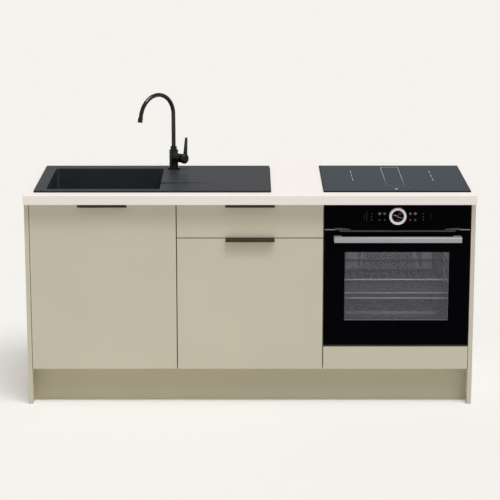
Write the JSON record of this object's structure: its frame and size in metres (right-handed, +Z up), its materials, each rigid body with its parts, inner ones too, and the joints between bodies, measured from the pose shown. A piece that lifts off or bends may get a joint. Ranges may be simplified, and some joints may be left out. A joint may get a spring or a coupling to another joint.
{
  "type": "kitchen base cabinet",
  "caption": "Fitted kitchen base cabinets with pull-outs, built-in oven, hob, sink with drainer and swan-neck tap.",
  "frame": {"origin": "on the floor under the middle of the run, halfway from the oven handle's front to the wall", "axes": "+X along the worktop to the right seen from the front, -Y to the front, +Z up"},
  "size_m": [1.836, 0.668, 1.2402],
  "materials": {
    "worktop_laminate": "smooth matt off-white laminate",
    "panel_lacquer": "matt greige lacquer",
    "front_lacquer": "matt greige lacquer",
    "plinth_lacquer": "matt greige lacquer, in the shade of the units",
    "carcass_board": "fine-grained white melamine",
    "drawer_board": "light grey melamine",
    "drawer_metal": "satin grey powder coat",
    "runner_steel": "zinc plated",
    "foot_plastic": "black moulded plastic",
    "pull_metal": "dark bronze anodised",
    "sink_composite": "fine black granite composite, satin",
    "waste_steel": "polished stainless",
    "trap_plastic": "white moulded plastic",
    "tap_black": "matt black coating on brass",
    "hob_glass": "polished black glass ceramic",
    "casing_steel": "galvanised sheet",
    "coil_copper": "wound copper",
    "oven_black_metal": "black coated sheet",
    "oven_enamel": "dark grey speckled enamel",
    "mineral_wool": "pressed mineral wool",
    "seal_rubber": "braided black seal",
    "oven_black_glass": "polished black glass",
    "door_frame": "black coated door frame",
    "inner_glass": "clear glass",
    "handle_steel": "fine brushed stainless",
    "rack_chrome": "bright wire",
    "pan_enamel": "dark enamel",
    "motor_iron": "bare laminated iron"
  },
  "bodies": {
    "carcass": {"worktop": "worktop_laminate", "end_panel_left": "panel_lacquer", "end_panel_right": "panel_lacquer", "plinth_board": "plinth_lacquer", "levelling_legs": "foot_plastic", "plinth_clips": "foot_plastic", "sink_unit_sides": "carcass_board", "sink_unit_bottom": "carcass_board", "drawer_unit_sides": "carcass_board", "drawer_unit_bottom": "carcass_board", "oven_unit_sides": "carcass_board", "oven_unit_bottom": "carcass_board", "oven_unit_shelf": "carcass_board", "unit_back_panels": "carcass_board", "carcass_rails": "carcass_board", "oven_unit_filler": "front_lacquer", "runner_cabinet_members": "runner_steel", "sink_basin": "sink_composite", "sink_waste": "waste_steel", "sink_bottle_trap": "trap_plastic", "tap_body": "tap_black", "hob_glass": "hob_glass", "hob_casing": "casing_steel", "hob_coils": "coil_copper", "oven_casing": "oven_black_metal", "oven_cavity": "oven_enamel", "oven_insulation": "mineral_wool", "oven_door_seal": "seal_rubber", "oven_control_panel": "oven_black_glass", "oven_hinge_brackets": "casing_steel", "oven_side_racks": "rack_chrome", "oven_wire_shelf": "rack_chrome", "oven_baking_pan": "pan_enamel", "oven_fan_cover": "oven_enamel", "oven_fan_motor": "motor_iron"},
    "sink_pullout": {"sink_pullout_front": "front_lacquer", "sink_pullout_handle": "pull_metal", "sink_pullout_walls": "drawer_metal", "sink_pullout_base": "drawer_board"},
    "sink_pullout_runner": {"sink_pullout_runner_middles": "runner_steel"},
    "top_drawer": {"top_drawer_front": "front_lacquer", "top_drawer_handle": "pull_metal", "top_drawer_walls": "drawer_metal", "top_drawer_base": "drawer_board"},
    "top_drawer_runner": {"top_drawer_runner_middles": "runner_steel"},
    "pan_drawer": {"pan_drawer_front": "front_lacquer", "pan_drawer_handle": "pull_metal", "pan_drawer_walls": "drawer_metal", "pan_drawer_base": "drawer_board"},
    "pan_drawer_runner": {"pan_drawer_runner_middles": "runner_steel"},
    "strainer": {"sink_strainer_basket": "waste_steel"},
    "spout": {"tap_spout": "tap_black"},
    "lever_stem": {"tap_lever_stem": "tap_black"},
    "lever": {"tap_lever": "tap_black"},
    "oven_door": {"oven_door_glass": "oven_black_glass", "oven_door_frame": "door_frame", "oven_door_inner_glass": "inner_glass", "oven_door_handle": "handle_steel"},
    "control_ring": {"oven_control_ring": "handle_steel"},
    "oven_fan": {"oven_fan_wheel": "casing_steel"}
  },
  "joints": [
    {"name": "sink_pullout_slide", "type": "slide", "parent": "carcass", "child": "sink_pullout", "axis": [0, -1, 0], "range_m": [0, 0.45]},
    {"name": "sink_pullout_runner_slide", "type": "slide", "parent": "carcass", "child": "sink_pullout_runner", "axis": [0, -1, 0], "range_m": [0, 0.225]},
    {"name": "top_drawer_slide", "type": "slide", "parent": "carcass", "child": "top_drawer", "axis": [0, -1, 0], "range_m": [0, 0.45]},
    {"name": "top_drawer_runner_slide", "type": "slide", "parent": "carcass", "child": "top_drawer_runner", "axis": [0, -1, 0], "range_m": [0, 0.225]},
    {"name": "pan_drawer_slide", "type": "slide", "parent": "carcass", "child": "pan_drawer", "axis": [0, -1, 0], "range_m": [0, 0.45]},
    {"name": "pan_drawer_runner_slide", "type": "slide", "parent": "carcass", "child": "pan_drawer_runner", "axis": [0, -1, 0], "range_m": [0, 0.225]},
    {"name": "strainer_lift", "type": "slide", "parent": "carcass", "child": "strainer", "axis": [0, 0, 1], "range_m": [0, 0.08]},
    {"name": "spout_swivel", "type": "hinge", "parent": "carcass", "child": "spout", "pos_m": [-0.328, 0.187, 0.982], "axis": [0, 0, 1], "range_deg": [-60, 110]},
    {"name": "lever_turn", "type": "hinge", "parent": "carcass", "child": "lever_stem", "pos_m": [-0.328, 0.187, 0.9498], "axis": [0.809, -0.5878, 0], "range_deg": [-45, 45]},
    {"name": "lever_tilt", "type": "hinge", "parent": "lever_stem", "child": "lever", "pos_m": [-0.2835, 0.15467, 0.9498], "axis": [0.5878, 0.809, 0], "range_deg": [0, 15]},
    {"name": "oven_door_hinge", "type": "hinge", "parent": "carcass", "child": "oven_door", "pos_m": [0.6, -0.277, 0.268], "axis": [1, 0, 0], "range_deg": [0, 90]},
    {"name": "control_ring_turn", "type": "hinge", "parent": "carcass", "child": "control_ring", "pos_m": [0.6, -0.292, 0.80175], "axis": [0, -1, 0], "continuous": true},
    {"name": "oven_fan_spin", "type": "hinge", "parent": "carcass", "child": "oven_fan", "pos_m": [0.6, 0.15, 0.5525], "axis": [0, 1, 0], "continuous": true}
  ],
  "couplings": [
    {"joint": "sink_pullout_runner_slide", "follows": "sink_pullout_slide", "ratio": 0.5},
    {"joint": "top_drawer_runner_slide", "follows": "top_drawer_slide", "ratio": 0.5},
    {"joint": "pan_drawer_runner_slide", "follows": "pan_drawer_slide", "ratio": 0.5}
  ]
}
